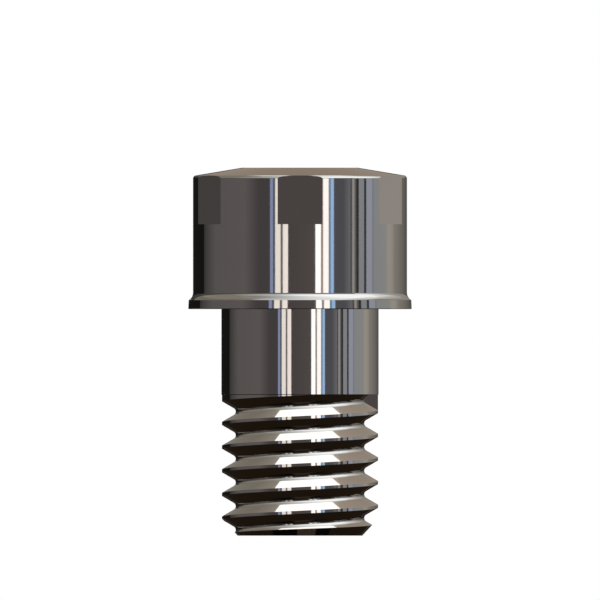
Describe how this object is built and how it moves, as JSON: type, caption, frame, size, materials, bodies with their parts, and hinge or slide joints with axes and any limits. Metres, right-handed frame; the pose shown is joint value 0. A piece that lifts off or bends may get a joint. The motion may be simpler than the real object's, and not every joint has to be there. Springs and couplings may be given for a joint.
{
  "type": "magnetic abutment",
  "caption": "Dental implant abutment with a sealed magnet in a hexagonal head, a seating flange, a plain shank and a fine screw thread.",
  "frame": {"origin": "centre of the flange's underside, the plane that seats on the implant, where the plain shank leaves it", "axes": "+Z along the axis towards the magnetic face on the head, with the screw thread pointing down; -Y is square to one of the wrench flats"},
  "size_m": [0.0042, 0.0042, 0.007],
  "materials": {
    "polished_titanium": "mirror polished titanium, turned",
    "plated_magnet": "nickel plated sintered magnet, satin"
  },
  "bodies": {
    "root": {"threaded_base": "polished_titanium", "magnet": "plated_magnet", "head_can": "polished_titanium"}
  },
  "joints": []
}
